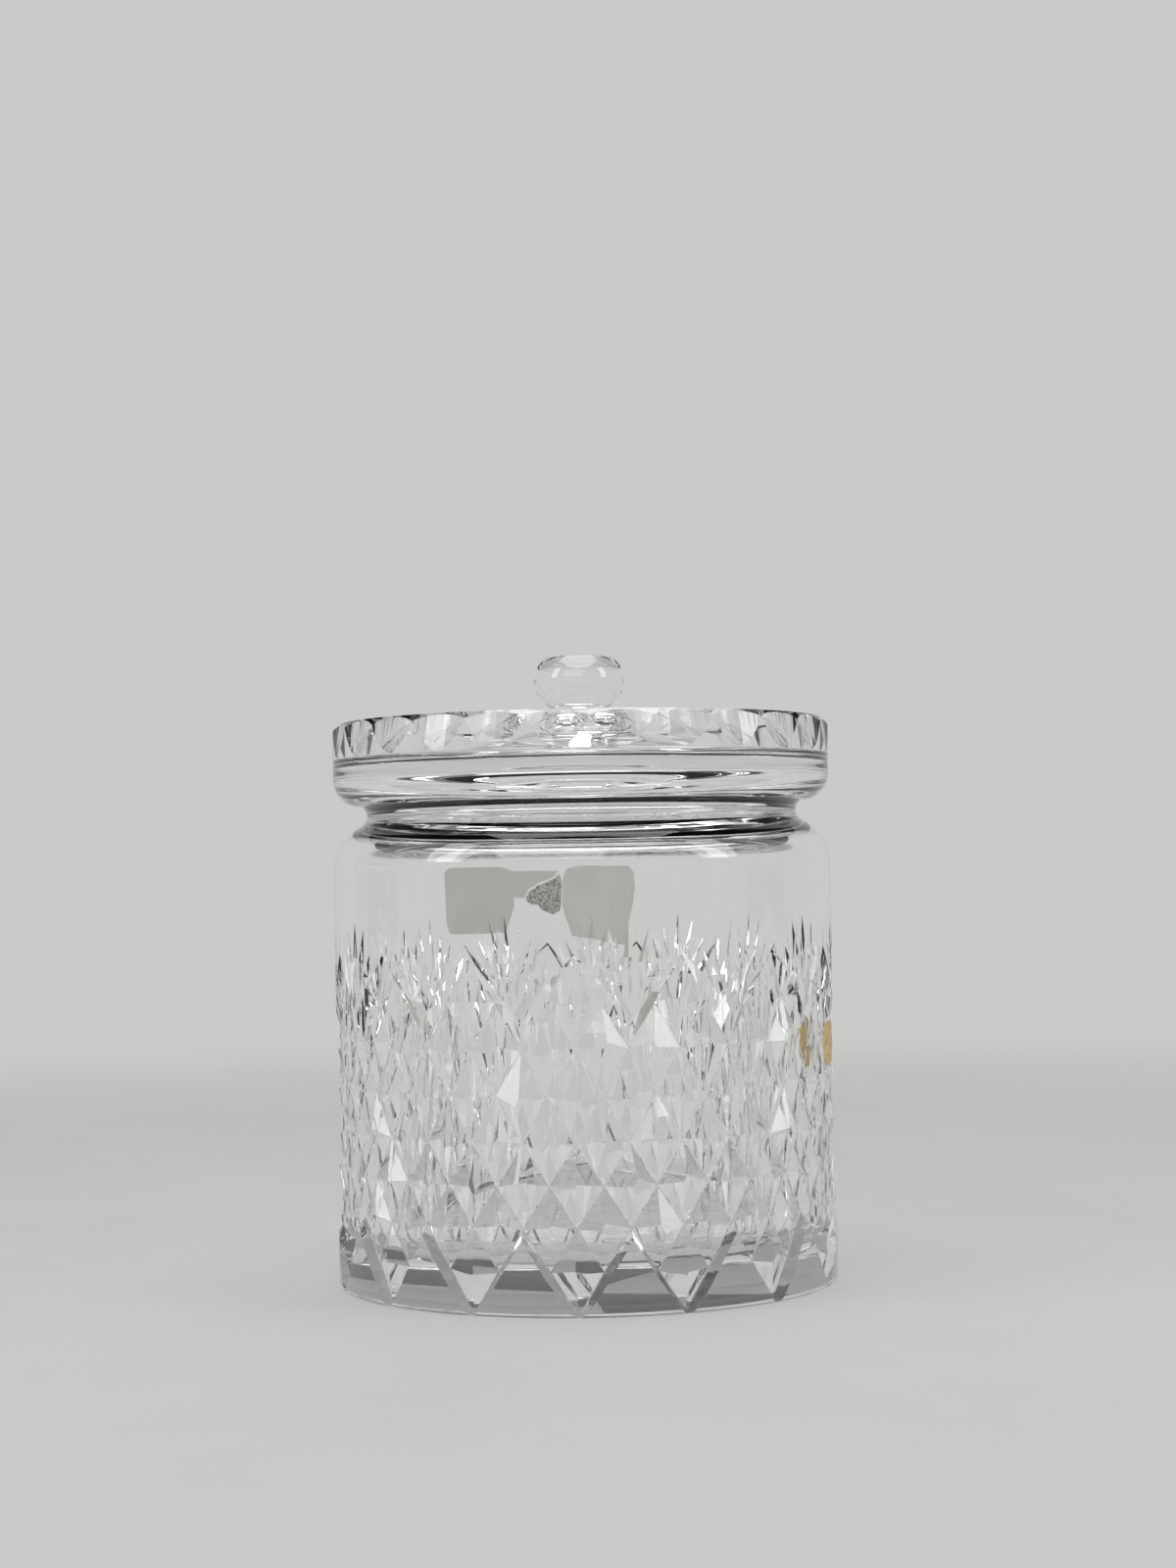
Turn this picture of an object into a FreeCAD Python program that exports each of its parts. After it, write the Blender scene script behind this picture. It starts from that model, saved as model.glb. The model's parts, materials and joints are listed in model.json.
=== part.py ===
"""Biscuit jar of thick cut glass with a lift-off lid, in millimetres, +Z up.

The origin is the centre of the foot, on the surface that the jar stands on.
"""
import FreeCAD, Part
import math
import os

Vector = FreeCAD.Vector
UP = Vector(0, 0, 1)
FULL_TURN = 360.0
MIDWAY = 0.5

# Jar body
wall_radius = 65.0
wall_thickness = 5.5
floor_thickness = 12.0
floor_corner_radius = 6.0
foot_round = 1.6
wall_height = 109.0
shoulder_round = 11.0
shoulder_sweep = 62.0
neck_fillet = 3.0
neck_lip_sweep = 55.0
neck_thickness = 6.3
mouth_inset = 15.0
mouth_round = 1.5
inner_shoulder_round = 5.5

# Lid plate
lid_rim_height = 21.5
lid_rim_thickness = 5.0
lid_under_round = 7.2
lid_bevel_height = 1.7
lid_bevel_width = 1.9
lid_inner_bevel = 0.6
recess_floor_height = 10.0
recess_corner_radius = 2.5
dome_shoulder_radius = 24.0
dome_shoulder_height = 16.2
flange_clearance = 0.5
flange_depth = 5.0
flange_thickness = 4.5
dome_edge_thickness = 7.2
dome_ceiling_height = 9.5
thumb_cut_count = 26
thumb_cut_height = 9.1
thumb_cut_depth = 1.55
thumb_cut_wheel_radius = 40.0
thumb_cut_turn = 2.3

# Knob and stem, heights from the lid's seat
stem_radius = 8.1
stem_waist_height = 24.1
stem_flare_radius = 4.6
stem_flare_sweep = 62.0
knob_joint_rise = 1.5
knob_radius = 12.0
knob_neck_rise = 1.8
knob_lower_rise = 6.7
knob_upper_rise = 6.0
knob_belly_rise = 2.4
knob_belly_inset = 1.4
knob_brow_drop = 1.9
knob_brow_inset = 1.4
knob_table_radius = 8.4
knob_facet_count = 6
knob_facet_table = 7.7
knob_facet_foot = 11.5
knob_facet_drop = 3.5
stem_scoop_depth = 0.9
stem_scoop_radius = 4.2
stem_scoop_drop = 1.5

# Cut lattice on the wall
repeat_count = 15
lattice_turn = -2.2
lattice_foot = 0.3
lower_row_pitch = 10.35
upper_row_pitch = 11.1
lower_row_count = 4
row_count = 8
groove_depth = 2.2
point_depth = 0.15
arch_tip_depth = 0.5
arch_cut_width = 4.2
arch_tip_rise = 2.4
arch_root_rise = 11.1
arch_cut_swing = 0.62
foot_cut_width = 2.4
foot_root_drop = 3.8
foot_cut_swing = 0.5
cutter_stand_off = 1.2
cutter_shell = 8.0

# Fan of five leaf-shaped rays above each low point of the lattice
ray_leans = [-9.4, -5.6, 0.0, 5.6, 9.4]
ray_tips = [26.0, 32.6, 34.8, 32.6, 26.0]
ray_root_height = 6.5
ray_root_spread = 0.16
ray_belly_share = 0.55
ray_width = 2.7
ray_depth = 1.0

# Paper and foil scraps on the outside of the wall
paper_thickness = 0.15
paper_gap = 0.15
label_drop = 0.6
label_left_outline = [(-41.8, -1.2), (-40.3, -0.1), (-25.0, 0.0), (-21.1, -1.2), (-7.6, -1.4), (-9.0, -3.1),
                      (-12.9, -4.4), (-16.8, -6.6), (-17.9, -9.0), (-21.0, -8.6), (-21.2, -11.5),
                      (-23.7, -18.4), (-31.0, -18.7), (-40.3, -18.5), (-41.4, -15.4)]
label_right_outline = [(-5.0, -0.9), (-0.7, 0.0), (13.7, -0.3), (15.4, -2.1), (15.7, -6.3), (15.2, -9.9),
                       (13.7, -16.1), (12.7, -22.6), (6.4, -21.6), (3.3, -20.8), (-3.5, -19.9), (-5.3, -15.0),
                       (-6.4, -11.0), (-6.1, -3.8)]
residue_outline = [(-7.3, -2.4), (-6.6, -4.1), (-6.9, -10.9), (-7.3, -12.6), (-9.2, -13.6), (-11.8, -12.6),
                   (-13.6, -10.9), (-16.4, -10.4), (-17.3, -9.3), (-16.2, -7.1), (-12.4, -5.0), (-8.6, -3.6)]
seal_angle = 72.5
seal_drop = 47.0
seal_outline = [(-4.4, 4.6), (-2.2, 5.7), (3.0, 5.2), (4.9, 2.2), (4.6, -3.4), (2.1, -5.6), (-3.2, -5.0),
                (-4.9, -1.0)]


# Sizes that follow from the ones above
mouth_radius = wall_radius - mouth_inset
neck_waist_radius = mouth_radius + neck_thickness
shoulder_end_radius = wall_radius - shoulder_round * (1 - math.cos(math.radians(shoulder_sweep)))
shoulder_end_height = wall_height + shoulder_round * math.sin(math.radians(shoulder_sweep))
neck_foot_radius = neck_waist_radius + neck_fillet * (1 - math.cos(math.radians(shoulder_sweep)))
neck_foot_height = shoulder_end_height + ((shoulder_end_radius - neck_foot_radius)
                                          / math.tan(math.radians(shoulder_sweep)))
neck_waist_height = neck_foot_height + neck_fillet * math.sin(math.radians(shoulder_sweep))
mouth_height = neck_waist_height + neck_fillet * math.sin(math.radians(neck_lip_sweep))
mouth_land_radius = neck_waist_radius + neck_fillet * (1 - math.cos(math.radians(neck_lip_sweep)))
lid_rim_radius = wall_radius
stem_foot_radius = stem_radius + stem_flare_radius * (1 - math.cos(math.radians(stem_flare_sweep)))
stem_foot_height = stem_waist_height - stem_flare_radius * math.sin(math.radians(stem_flare_sweep))
knob_joint_height = stem_foot_height + knob_joint_rise
knob_neck_height = stem_waist_height + knob_neck_rise
knob_widest_height = knob_neck_height + knob_lower_rise
knob_top_height = knob_widest_height + knob_upper_rise
label_height = wall_height - label_drop
seal_height = wall_height - seal_drop


def polar(radius, angle, height):
    """Point at an angle in degrees, where 0 is the front of the jar."""
    turn = math.radians(angle - 90.0)
    return Vector(radius * math.cos(turn), radius * math.sin(turn), height)


def between(start, end, share):
    return start + (end - start) * share


def profile_point(radius, height):
    return Vector(radius, 0, height)


def arc(start, middle, end):
    return Part.Arc(start, middle, end).toShape()


def line(start, end):
    return Part.LineSegment(start, end).toShape()


def revolve(edges):
    """Closed outline in the XZ plane, turned once round the axis."""
    face = Part.Face(Part.Wire(edges))
    return face.revolve(Vector(0, 0, 0), UP, FULL_TURN)


def round_corner(centre, radius, from_angle, to_angle):
    """Arc about a centre in the XZ plane, with angles in degrees from +X."""
    angles = [from_angle, (from_angle + to_angle) / 2, to_angle]
    spots = [centre + Vector(radius * math.cos(math.radians(a)), 0, radius * math.sin(math.radians(a)))
             for a in angles]
    return arc(*spots)


def jar_blank():
    """The jar before cutting: wall, floor, shoulder, neck and mouth."""
    inner = wall_radius - wall_thickness
    throat = inner - inner_shoulder_round
    ceiling = wall_height + inner_shoulder_round
    foot_edge = profile_point(wall_radius - foot_round, foot_round)
    shoulder = profile_point(wall_radius - shoulder_round, wall_height)
    shoulder_end = profile_point(shoulder_end_radius, shoulder_end_height)
    neck_foot = profile_point(neck_foot_radius, neck_foot_height)
    waist = profile_point(neck_waist_radius, neck_waist_height)
    land = profile_point(mouth_land_radius, mouth_height)
    mouth_corner = profile_point(mouth_radius + mouth_round, ceiling + mouth_round)
    floor_corner = profile_point(inner - floor_corner_radius, floor_thickness + floor_corner_radius)
    edges = [
        line(profile_point(0, 0), profile_point(foot_edge.x, 0)),
        round_corner(foot_edge, foot_round, -90, 0),
        line(profile_point(wall_radius, foot_round), profile_point(wall_radius, wall_height)),
        round_corner(shoulder, shoulder_round, 0, shoulder_sweep),
        line(shoulder_end, neck_foot),
        arc(neck_foot, waist, land),
        line(land, profile_point(mouth_radius, mouth_height)),
        line(profile_point(mouth_radius, mouth_height), profile_point(mouth_radius, mouth_corner.z)),
        round_corner(mouth_corner, mouth_round, 180, 270),
        line(profile_point(mouth_corner.x, ceiling), profile_point(throat, ceiling)),
        round_corner(profile_point(throat, wall_height), inner_shoulder_round, 90, 0),
        line(profile_point(inner, wall_height), profile_point(inner, floor_corner.z)),
        round_corner(floor_corner, floor_corner_radius, 0, -90),
        line(profile_point(floor_corner.x, floor_thickness), profile_point(0, floor_thickness)),
        line(profile_point(0, floor_thickness), profile_point(0, 0)),
    ]
    return revolve(edges)


def row_height(row):
    """Height of a row of groove crossings, counted up from the foot."""
    lower = min(row, lower_row_count) * lower_row_pitch
    upper = max(row - lower_row_count, 0) * upper_row_pitch
    return lattice_foot + lower + upper


def triangle(a, b, c):
    return Part.Face(Part.makePolygon([a, b, c, a]))


def solid_of(faces):
    solid = Part.makeSolid(Part.makeShell(faces))
    if solid.Volume < 0:
        solid.reverse()
    return solid


half_step = FULL_TURN / repeat_count / 4


def crossing(column, row, depth):
    """Bottom of the groove where two mitre cuts cross."""
    return polar(wall_radius - depth, lattice_turn + half_step * column, row_height(row))


def diamond_faces():
    """Four facets rising to a point inside each diamond of the lattice."""
    faces = []
    for row in range(1, row_count):
        for column in range(repeat_count * 4):
            end_row = row in (1, row_count - 1)
            if (row + column) % 2 == 0 or (end_row and column % 4 != 0):
                continue
            top_depth = arch_tip_depth if row + 1 == row_count else groove_depth
            point = polar(wall_radius - point_depth, lattice_turn + half_step * column, row_height(row))
            corners = [crossing(column, row + 1, top_depth), crossing(column + 1, row, groove_depth),
                       crossing(column, row - 1, groove_depth), crossing(column - 1, row, groove_depth)]
            for index, corner in enumerate(corners):
                faces.append(triangle(corner, corners[(index + 1) % 4], point))
    return faces


def boundary(column, upper):
    """Groove bottom, outer lip and back wall of the cutter on the lattice's zigzag edge."""
    phase = column % 4
    steps = [0, 1, 2, 1][phase]
    angle = lattice_turn + half_step * column
    lip_radius = wall_radius + cutter_stand_off
    leaning = [0, 1, 0, -1][phase]
    if upper:
        row = row_count - steps
        depth = arch_tip_depth if steps == 0 else groove_depth
        rise = [arch_tip_rise, arch_cut_width, arch_root_rise, arch_cut_width][phase]
        swing = arch_cut_width * arch_cut_swing * leaning
    else:
        row = steps
        depth = groove_depth
        rise = -[foot_cut_width, foot_cut_width, foot_root_drop, foot_cut_width][phase]
        swing = foot_cut_width * foot_cut_swing * leaning
    slide = math.degrees(swing / wall_radius)
    groove = crossing(column, row, depth)
    lip = polar(lip_radius, angle + slide, row_height(row) + rise)
    back = polar(wall_radius + cutter_shell, angle + slide, row_height(row) + rise)
    return groove, lip, back


def lattice_cutter():
    """Closed ring whose inner skin is the faceted surface left by the cutting wheel."""
    faces = diamond_faces()
    columns = repeat_count * 4
    for column in range(columns):
        following = (column + 1) % columns
        low = [boundary(column, False), boundary(following, False)]
        high = [boundary(column, True), boundary(following, True)]
        for pair in (low, high):
            for level in (0, 1):
                a, b = pair[0][level], pair[1][level]
                c, d = pair[1][level + 1], pair[0][level + 1]
                faces += [triangle(a, b, c), triangle(a, c, d)]
        a, b = low[0][2], low[1][2]
        c, d = high[1][2], high[0][2]
        faces += [triangle(a, b, c), triangle(a, c, d)]
    return solid_of(faces)


def ray_cutter(centre_angle, lean, tip_rise):
    """Leaf-shaped mitre cut, deepest near its root and fading out at both ends."""
    base = row_height(row_count - 2)
    root_height = base + ray_root_height
    tip_height = base + tip_rise
    lip = wall_radius + cutter_stand_off
    root_lean = lean * ray_root_spread

    def spot(share, sideways, radius):
        across = root_lean + (lean - root_lean) * share + sideways
        height = root_height + (tip_height - root_height) * share
        return polar(radius, centre_angle + math.degrees(across / wall_radius), height)

    reach = cutter_stand_off / (ray_depth + cutter_stand_off)
    half = ray_width / 2 * (1 + cutter_stand_off / ray_depth)
    start_share = -ray_belly_share * reach
    end_share = 1 + (1 - ray_belly_share) * reach
    start = spot(start_share, 0, lip)
    end = spot(end_share, 0, lip)
    keel = spot(ray_belly_share, 0, wall_radius - ray_depth)
    left = spot(ray_belly_share, -half, lip)
    right = spot(ray_belly_share, half, lip)
    crown = spot(ray_belly_share, 0, lip + cutter_stand_off * 2)
    faces = []
    for side in (left, right):
        for tip in (start, end):
            faces += [triangle(tip, side, keel), triangle(tip, side, crown)]
    return solid_of(faces)


def fan_cutters():
    cutters = []
    for repeat in range(repeat_count):
        centre = lattice_turn + half_step * (4 * repeat + 2)
        for lean, tip_rise in zip(ray_leans, ray_tips):
            cutters.append(ray_cutter(centre, lean, tip_rise))
    return cutters


def make_jar_body():
    jar = jar_blank().cut(lattice_cutter())
    return jar.cut(fan_cutters())


def stem_radius_at(height):
    """Radius of the flare between dome and stem at a height above the lid's seat."""
    below = stem_waist_height - height
    return stem_radius + stem_flare_radius - math.sqrt(stem_flare_radius ** 2 - below ** 2)


def lid_blank():
    """Lid plate: under rounding, rim, recess, dome, and the flange that drops into the mouth."""
    seat = mouth_height
    rim_top = seat + lid_rim_height
    rim_inner = lid_rim_radius - lid_rim_thickness
    bevel_foot = profile_point(lid_rim_radius, rim_top - lid_bevel_height)
    bevel_top = profile_point(lid_rim_radius - lid_bevel_width, rim_top)
    inner_bevel_foot = profile_point(rim_inner, rim_top - lid_inner_bevel)
    recess_floor = seat + recess_floor_height
    corner = profile_point(rim_inner - recess_corner_radius, recess_floor + recess_corner_radius)
    flare_foot = profile_point(stem_foot_radius, seat + stem_foot_height)
    joint_radius = stem_radius_at(knob_joint_height)
    joint = profile_point(joint_radius, seat + knob_joint_height)
    flare_mid_height = between(stem_foot_height, knob_joint_height, MIDWAY)
    flare_mid = profile_point(stem_radius_at(flare_mid_height), seat + flare_mid_height)
    flange_outer = mouth_radius - flange_clearance
    flange_inner = flange_outer - flange_thickness
    flange_foot = seat - flange_depth
    ceiling_edge = seat + recess_floor_height - dome_edge_thickness
    ceiling_centre = seat + dome_ceiling_height
    ceiling_middle = between(ceiling_centre, ceiling_edge, MIDWAY ** 2)
    edges = [
        line(profile_point(flange_outer, seat), profile_point(lid_rim_radius - lid_under_round, seat)),
        round_corner(profile_point(lid_rim_radius - lid_under_round, seat + lid_under_round),
                     lid_under_round, -90, 0),
        line(profile_point(lid_rim_radius, seat + lid_under_round), bevel_foot),
        line(bevel_foot, bevel_top),
        line(bevel_top, profile_point(rim_inner + lid_inner_bevel, rim_top)),
        line(profile_point(rim_inner + lid_inner_bevel, rim_top), inner_bevel_foot),
        line(inner_bevel_foot, profile_point(rim_inner, corner.z)),
        round_corner(corner, recess_corner_radius, 0, -90),
        arc(profile_point(corner.x, recess_floor),
            profile_point(dome_shoulder_radius, seat + dome_shoulder_height), flare_foot),
        arc(flare_foot, flare_mid, joint),
        line(joint, profile_point(0, joint.z)),
        line(profile_point(0, joint.z), profile_point(0, ceiling_centre)),
        arc(profile_point(0, ceiling_centre),
            profile_point(flange_inner * MIDWAY, ceiling_middle),
            profile_point(flange_inner, ceiling_edge)),
        line(profile_point(flange_inner, ceiling_edge), profile_point(flange_inner, flange_foot)),
        line(profile_point(flange_inner, flange_foot), profile_point(flange_outer, flange_foot)),
        line(profile_point(flange_outer, flange_foot), profile_point(flange_outer, seat)),
    ]
    return revolve(edges)


def thumb_cutters():
    """Round-nosed cuts that lean in at the rim's top and fade out below it."""
    rim_top = mouth_height + lid_rim_height
    tilt = math.atan2(thumb_cut_depth, thumb_cut_height)
    length = thumb_cut_height * 4
    cutters = []
    for index in range(thumb_cut_count):
        angle = thumb_cut_turn + FULL_TURN / thumb_cut_count * (index + 0.5)
        outward = polar(1, angle, 0)
        lean = outward * -math.sin(tilt) + UP * math.cos(tilt)
        across = outward * math.cos(tilt) + UP * math.sin(tilt)
        fade_point = outward * lid_rim_radius + UP * (rim_top - thumb_cut_height)
        axis_point = fade_point + across * thumb_cut_wheel_radius
        start = axis_point - lean * (length / 2)
        cutters.append(Part.makeCylinder(thumb_cut_wheel_radius, length, start, lean))
    return cutters


def knob_blank():
    """Stem flare, waist and flattened ball, with a flat table on top."""
    seat = mouth_height
    joint = profile_point(stem_radius_at(knob_joint_height), seat + knob_joint_height)
    waist = profile_point(stem_radius, seat + stem_waist_height)
    mid_height = between(knob_joint_height, stem_waist_height, MIDWAY)
    flare_mid = profile_point(stem_radius_at(mid_height), seat + mid_height)
    neck = profile_point(stem_radius, seat + knob_neck_height)
    widest = profile_point(knob_radius, seat + knob_widest_height)
    belly = profile_point(knob_radius - knob_belly_inset, neck.z + knob_belly_rise)
    table_edge = profile_point(knob_table_radius, seat + knob_top_height)
    brow = profile_point(knob_radius - knob_brow_inset, table_edge.z - knob_brow_drop)
    edges = [
        line(profile_point(0, joint.z), joint),
        arc(joint, flare_mid, waist),
        line(waist, neck),
        arc(neck, belly, widest),
        arc(widest, brow, table_edge),
        line(table_edge, profile_point(0, table_edge.z)),
        line(profile_point(0, table_edge.z), profile_point(0, joint.z)),
    ]
    return revolve(edges)


def facet_cutter(angle):
    """Block whose sloping face makes one flat between the knob's table and its side."""
    size = knob_radius * 2
    slope = math.degrees(math.atan2(knob_facet_drop, knob_facet_foot - knob_facet_table))
    block = Part.makeBox(size, size, size, Vector(0, -size / 2, -size / 2))
    block.rotate(Vector(0, 0, 0), Vector(0, 1, 0), slope - FULL_TURN / 4)
    block.translate(Vector(knob_facet_table, 0, mouth_height + knob_top_height))
    block.rotate(Vector(0, 0, 0), UP, angle - FULL_TURN / 4)
    return block


def scoop_cutter(angle):
    """Wheel that hollows one side of the stem."""
    outward = polar(1, angle, 0)
    across = outward.cross(UP)
    distance = stem_radius - stem_scoop_depth + stem_scoop_radius
    centre = outward * distance + UP * (mouth_height + stem_waist_height - stem_scoop_drop)
    start = centre - across * knob_radius
    return Part.makeCylinder(stem_scoop_radius, knob_radius * 2, start, across)


facet_angles = [FULL_TURN / knob_facet_count * index for index in range(knob_facet_count)]


def make_lid():
    lid = lid_blank().cut(thumb_cutters())
    return lid.cut([scoop_cutter(angle) for angle in facet_angles])


def make_lid_knob():
    knob = knob_blank().cut([scoop_cutter(angle) for angle in facet_angles])
    return knob.cut([facet_cutter(angle) for angle in facet_angles])


def wall_patch(outline, centre_angle, height):
    """Thin patch with a torn outline, seen from the front, that follows the outside of the wall."""
    inner = wall_radius + paper_gap
    shell = Part.makeCylinder(inner + paper_thickness, wall_height)
    shell = shell.cut(Part.makeCylinder(inner, wall_height))
    points = [Vector(across, 0, height + rise) for across, rise in outline]
    reach = Vector(0, wall_radius * 2, 0)
    stamp = Part.Face(Part.makePolygon(points + points[:1])).extrude(reach)
    stamp.rotate(Vector(0, 0, 0), UP, centre_angle - FULL_TURN / 2)
    return shell.common(stamp)


def make_label_scrap_left():
    return wall_patch(label_left_outline, FULL_TURN / 2, label_height)


def make_label_scrap_right():
    return wall_patch(label_right_outline, FULL_TURN / 2, label_height)


def make_label_residue():
    return wall_patch(residue_outline, FULL_TURN / 2, label_height)


def make_foil_seal():
    return wall_patch(seal_outline, seal_angle, seal_height)


makers = {
    "jar_body": make_jar_body,
    "lid": make_lid,
    "lid_knob": make_lid_knob,
    "label_scrap_left": make_label_scrap_left,
    "label_scrap_right": make_label_scrap_right,
    "label_residue": make_label_residue,
    "foil_seal": make_foil_seal,
}

os.makedirs("parts", exist_ok=True)
for node, make in makers.items():
    shape = make()
    print(node, shape.isValid(), len(shape.Solids), len(shape.Faces), round(shape.Volume, 1), flush=True)
    shape.exportStep("parts/" + node + ".step")
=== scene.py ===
"""Looks of a cut-glass biscuit jar with a lift-off lid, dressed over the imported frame."""
import json
import math
import random

import bmesh
import bpy
from mathutils import Matrix, Vector
from mathutils.geometry import delaunay_2d_cdt

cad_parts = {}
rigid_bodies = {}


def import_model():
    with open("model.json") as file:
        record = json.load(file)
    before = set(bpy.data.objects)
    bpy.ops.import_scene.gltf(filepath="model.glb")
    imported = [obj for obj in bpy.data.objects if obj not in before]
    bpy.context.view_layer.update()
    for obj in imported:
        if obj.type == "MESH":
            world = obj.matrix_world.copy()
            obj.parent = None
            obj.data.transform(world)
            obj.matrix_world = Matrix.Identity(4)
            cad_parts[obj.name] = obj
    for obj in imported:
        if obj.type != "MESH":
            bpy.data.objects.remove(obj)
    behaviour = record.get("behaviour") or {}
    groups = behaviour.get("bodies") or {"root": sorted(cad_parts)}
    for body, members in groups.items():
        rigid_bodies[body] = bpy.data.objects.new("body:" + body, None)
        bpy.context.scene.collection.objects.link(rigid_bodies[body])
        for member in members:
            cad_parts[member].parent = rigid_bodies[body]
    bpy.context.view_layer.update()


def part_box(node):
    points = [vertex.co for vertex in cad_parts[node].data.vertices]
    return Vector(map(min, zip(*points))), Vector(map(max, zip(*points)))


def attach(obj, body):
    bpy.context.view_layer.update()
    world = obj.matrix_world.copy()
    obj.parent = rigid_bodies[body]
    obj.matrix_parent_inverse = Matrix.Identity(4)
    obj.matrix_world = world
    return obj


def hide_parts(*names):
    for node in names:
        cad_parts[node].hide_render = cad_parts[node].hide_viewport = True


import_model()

MM = 0.001
FULL_TURN = 2 * math.pi
rng = random.Random(7)

# Sizes of the jar, in millimetres, with the heights of the mouth, lid and knob read from the frame
jar_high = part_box("jar_body")[1]
lid_low, lid_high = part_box("lid")
knob_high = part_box("lid_knob")[1]
WALL_RADIUS = 65.0
WALL_THICKNESS = 5.5
FLOOR_THICKNESS = 12.0
FLOOR_CORNER = 6.0
FOOT_ROUND = 1.6
WALL_HEIGHT = 109.0
SHOULDER_ROUND = 11.0
SHOULDER_SWEEP = 62.0
NECK_RADIUS = 56.3
NECK_FILLET = 3.0
LIP_SWEEP = 55.0
MOUTH_RADIUS = 50.0
MOUTH_HEIGHT = jar_high[2] / MM
MOUTH_ROUND = 1.5
MOUTH_EDGE = 0.8
INNER_SHOULDER = 5.5
WALL_PARTS = 6

# Lid and knob, with heights from the lid's seat
RIM_HEIGHT = lid_high[2] / MM - MOUTH_HEIGHT
RIM_THICKNESS = 5.0
UNDER_ROUND = 7.2
BEVEL_HEIGHT = 1.7
BEVEL_WIDTH = 1.9
INNER_BEVEL = 0.6
RECESS_FLOOR = 10.0
RECESS_ROUND = 2.5
DOME_SHOULDER = (24.0, 16.2)
DOME_CEILING = 9.5
FLANGE_CLEARANCE = 0.5
FLANGE_DEPTH = MOUTH_HEIGHT - lid_low[2] / MM
FLANGE_THICKNESS = 4.5
PLATE_THICKNESS = 7.2
CEILING_SHARE = 0.75
THUMB_COUNT = 26
THUMB_HEIGHT = 9.1
THUMB_DEPTH = 1.55
THUMB_WHEEL = 40.0
THUMB_TURN = 2.3
THUMB_SPAN = math.radians(14)
THUMB_CUTTER = (40.0, 12.0)
THUMB_STEPS = 28
STEM_RADIUS = 8.1
STEM_WAIST = 24.1
STEM_FLARE = 4.6
FLARE_SWEEP = 62.0
KNOB_NECK = 25.9
KNOB_RADIUS = 12.0
KNOB_WIDEST = 32.6
KNOB_TOP = knob_high[2] / MM - MOUTH_HEIGHT
KNOB_BELLY = (10.6, 28.3)
KNOB_BROW = (10.6, 36.7)
KNOB_TABLE = 8.4
FACET_COUNT = 6
FACET_TABLE = 7.7
FACET_FOOT = 11.5
FACET_DROP = 3.5
SCOOP_DEPTH = 0.9
SCOOP_RADIUS = 4.2
SCOOP_HEIGHT = 22.6
SCOOP_SPAN = math.radians(88)
SCOOP_CUTTER = (24.0, 9.0)
SCOOP_STEPS = 64
FACET_BLOCK = 20.0
SQUARE = ((-1, -1), (1, -1), (1, 1), (-1, 1))

# Cut lattice and fans
REPEATS = 15
HALF_STEP = 360.0 / REPEATS / 4
COLUMNS = REPEATS * 4
LATTICE_TURN = -2.2
LATTICE_FOOT = 0.3
LOWER_PITCH = 10.35
UPPER_PITCH = 11.1
LOWER_ROWS = 4
ROWS = 8
GROOVE_DEPTH = 2.2
POINT_DEPTH = 0.15
TIP_DEPTH = 0.5
ARCH_WIDTH = 4.2
ARCH_TIP_RISE = 2.4
ARCH_ROOT_RISE = 11.1
ARCH_SWING = 0.62
FOOT_WIDTH = 2.4
FOOT_ROOT_DROP = 3.8
FOOT_SWING = 0.5
STAND_OFF = 1.2
CUTTER_SHELL = 8.0
RAY_LEANS = [-9.4, -5.6, 0.0, 5.6, 9.4]
RAY_TIPS = [26.0, 32.6, 34.8, 32.6, 26.0]
RAY_ROOT = 6.5
RAY_ROOT_SPREAD = 0.16
RAY_BELLY = 0.55
RAY_WIDTH = 2.7
RAY_DEPTH = 1.0

# Hand-cut unevenness
CROSSING_WANDER = 0.25
POINT_WANDER = (0.8, 1.3)
POINT_SINK = 0.3
RIDGE_LENGTH = (0.2, 2.7)
GROOVE_NOSE = 0.2

GROOVE_SHARP = math.radians(20)
SEGMENTS = 288
ARC_STEP = math.radians(5)
DOME_STEPS = 24
BALL_STEPS = 16
NOSE_STEPS = 2
JAR_CREASE = math.radians(1)
LID_CREASE = math.radians(6)

# Tolerances in millimetres, and the weight of distance against direction when normals are matched
WELD = 1e-4
SAME_SPOT = 1e-6
ON_AXIS = 1e-9
TOUCH = 0.01
GAP_WEIGHT = 4

# Material slots of a blank
SMOOTH = 0
CUT = 1


def polar(radius, degrees, height):
    """Point in millimetres at an angle from the front of the jar."""
    turn = math.radians(degrees - 90.0)
    return Vector((radius * math.cos(turn), radius * math.sin(turn), height))


def round_corner(centre, radius, start, end):
    """Points of an arc in the profile plane, angles in degrees."""
    count = max(2, round(abs(math.radians(end - start)) / ARC_STEP))
    return [(centre[0] + radius * math.cos(a), centre[1] + radius * math.sin(a))
            for a in (math.radians(start + (end - start) * i / count) for i in range(count + 1))]


def arc_through(start, middle, end, count=12):
    """Points of the circle arc through three profile points."""
    (ax, ay), (bx, by), (cx, cy) = start, middle, end
    d = 2 * (ax * (by - cy) + bx * (cy - ay) + cx * (ay - by))
    ux = ((ax**2 + ay**2) * (by - cy) + (bx**2 + by**2) * (cy - ay) + (cx**2 + cy**2) * (ay - by)) / d
    uy = ((ax**2 + ay**2) * (cx - bx) + (bx**2 + by**2) * (ax - cx) + (cx**2 + cy**2) * (bx - ax)) / d
    radius = math.hypot(ax - ux, ay - uy)
    first = math.atan2(ay - uy, ax - ux)
    through = math.atan2(by - uy, bx - ux)
    last = math.atan2(cy - uy, cx - ux)
    sweep = (last - first) % FULL_TURN
    if (through - first) % FULL_TURN > sweep:
        sweep -= FULL_TURN
    return [(ux + radius * math.cos(a), uy + radius * math.sin(a))
            for a in (first + sweep * i / count for i in range(count + 1))]


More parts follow.
